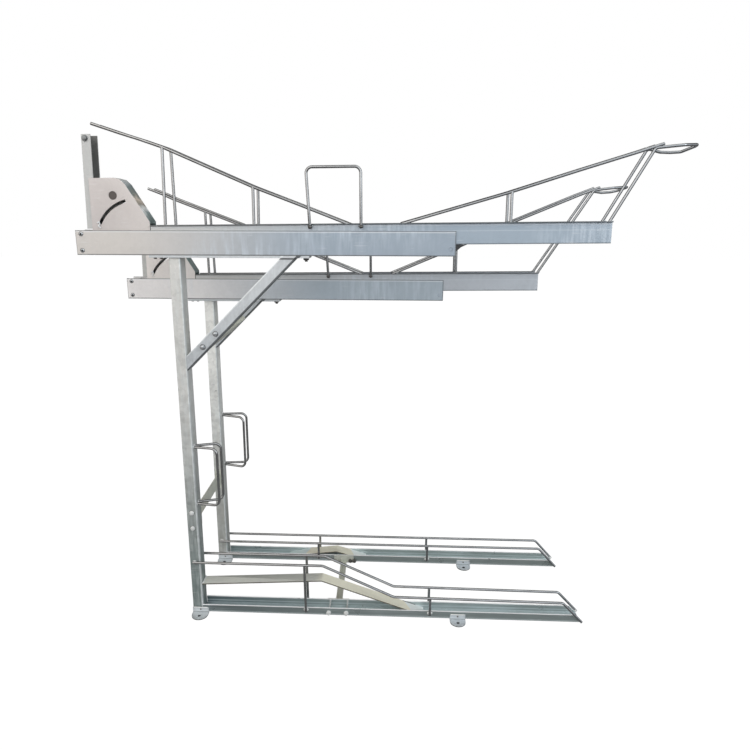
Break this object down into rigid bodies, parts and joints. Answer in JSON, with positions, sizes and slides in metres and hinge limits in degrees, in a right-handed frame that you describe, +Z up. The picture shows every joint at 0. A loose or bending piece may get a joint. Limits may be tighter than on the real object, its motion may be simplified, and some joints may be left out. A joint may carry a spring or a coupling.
{
  "type": "two tier bike rack",
  "caption": "Galvanised two tier bicycle rack: floor trays with guide rods below, pull-out tilting trays on rails above, two columns of different height.",
  "frame": {"origin": "middle of the bounding box's bottom face, on the floor", "axes": "+X from the rear of the rack towards the pull-out handles, +Y from the high column to the low column, +Z up"},
  "size_m": [2.0894, 0.5242, 1.8507],
  "materials": {
    "rail_zinc": "hot-dip galvanised, satin with faint vertical streaks",
    "tray_zinc": "hot-dip galvanised, mottled blue-grey",
    "hood_zinc": "hot-dip galvanised, pale and matt",
    "floor_zinc": "hot-dip galvanised, dark grey and satin",
    "rod_zinc": "bright zinc, satin",
    "ramp_zinc": "hot-dip galvanised, pale with a warm cast",
    "roller_plastic": "black nylon, matt"
  },
  "bodies": {
    "frame": {"high_post": "rail_zinc", "high_brace": "rail_zinc", "high_rail_plate": "rail_zinc", "high_rail": "rail_zinc", "high_rail_rear_stop": "rail_zinc", "high_post_foot": "rod_zinc", "high_front_foot": "rod_zinc", "high_floor_tray": "floor_zinc", "high_post_lock_loop_near": "rod_zinc", "high_post_lock_loop_far": "rod_zinc", "high_floor_guide_near": "rod_zinc", "high_floor_guide_far": "rod_zinc", "low_post": "rail_zinc", "low_brace": "rail_zinc", "low_rail_plate": "rail_zinc", "low_rail": "rail_zinc", "low_rail_rear_stop": "rail_zinc", "low_post_foot": "rod_zinc", "low_front_foot": "rod_zinc", "low_floor_tray": "floor_zinc", "low_post_lock_loop_near": "rod_zinc", "low_post_lock_loop_far": "rod_zinc", "low_floor_guide_near": "rod_zinc", "low_floor_guide_far": "rod_zinc", "high_wheel_ramp": "ramp_zinc", "low_wheel_bump": "ramp_zinc", "upper_cross_tie": "rail_zinc", "lower_cross_tie": "rail_zinc", "floor_cross_tie": "rail_zinc"},
    "high_cradle": {"high_mouth_cradle": "rail_zinc"},
    "high_mouth_wheel": {"high_mouth_roller": "roller_plastic"},
    "high_upper_tray": {"high_tray": "tray_zinc", "high_hood": "hood_zinc", "high_wheel_stop": "hood_zinc", "high_rear_guide_near": "rod_zinc", "high_rear_guide_far": "rod_zinc", "high_front_guide": "rod_zinc", "high_tray_lock_loop": "rod_zinc"},
    "high_tail_wheel": {"high_tail_roller": "roller_plastic"},
    "low_cradle": {"low_mouth_cradle": "rail_zinc"},
    "low_mouth_wheel": {"low_mouth_roller": "roller_plastic"},
    "low_upper_tray": {"low_tray": "tray_zinc", "low_hood": "hood_zinc", "low_wheel_stop": "hood_zinc", "low_rear_guide_near": "rod_zinc", "low_rear_guide_far": "rod_zinc", "low_front_guide": "rod_zinc", "low_tray_lock_loop": "rod_zinc"},
    "low_tail_wheel": {"low_tail_roller": "roller_plastic"}
  },
  "joints": [
    {"name": "high_tray_tilt", "type": "hinge", "parent": "frame", "child": "high_cradle", "pos_m": [0.24813, -0.17915, 1.43983], "axis": [0, 1, 0], "range_deg": [0, 40]},
    {"name": "high_tray_slide", "type": "slide", "parent": "high_cradle", "child": "high_upper_tray", "axis": [0.9999, 0, 0.0105], "range_m": [0, 1.1]},
    {"name": "high_mouth_roller_turn", "type": "hinge", "parent": "high_cradle", "child": "high_mouth_wheel", "pos_m": [0.24813, -0.17915, 1.43983], "axis": [0, 1, 0], "continuous": true},
    {"name": "high_tail_roller_turn", "type": "hinge", "parent": "high_upper_tray", "child": "high_tail_wheel", "pos_m": [-0.93493, -0.17915, 1.4398], "axis": [0, 1, 0], "continuous": true},
    {"name": "low_tray_tilt", "type": "hinge", "parent": "frame", "child": "low_cradle", "pos_m": [0.24813, 0.22085, 1.23483], "axis": [0, 1, 0], "range_deg": [0, 40]},
    {"name": "low_tray_slide", "type": "slide", "parent": "low_cradle", "child": "low_upper_tray", "axis": [0.9999, 0, 0.0105], "range_m": [0, 1.1]},
    {"name": "low_mouth_roller_turn", "type": "hinge", "parent": "low_cradle", "child": "low_mouth_wheel", "pos_m": [0.24813, 0.22085, 1.23483], "axis": [0, 1, 0], "continuous": true},
    {"name": "low_tail_roller_turn", "type": "hinge", "parent": "low_upper_tray", "child": "low_tail_wheel", "pos_m": [-0.90993, 0.22085, 1.2348], "axis": [0, 1, 0], "continuous": true}
  ]
}
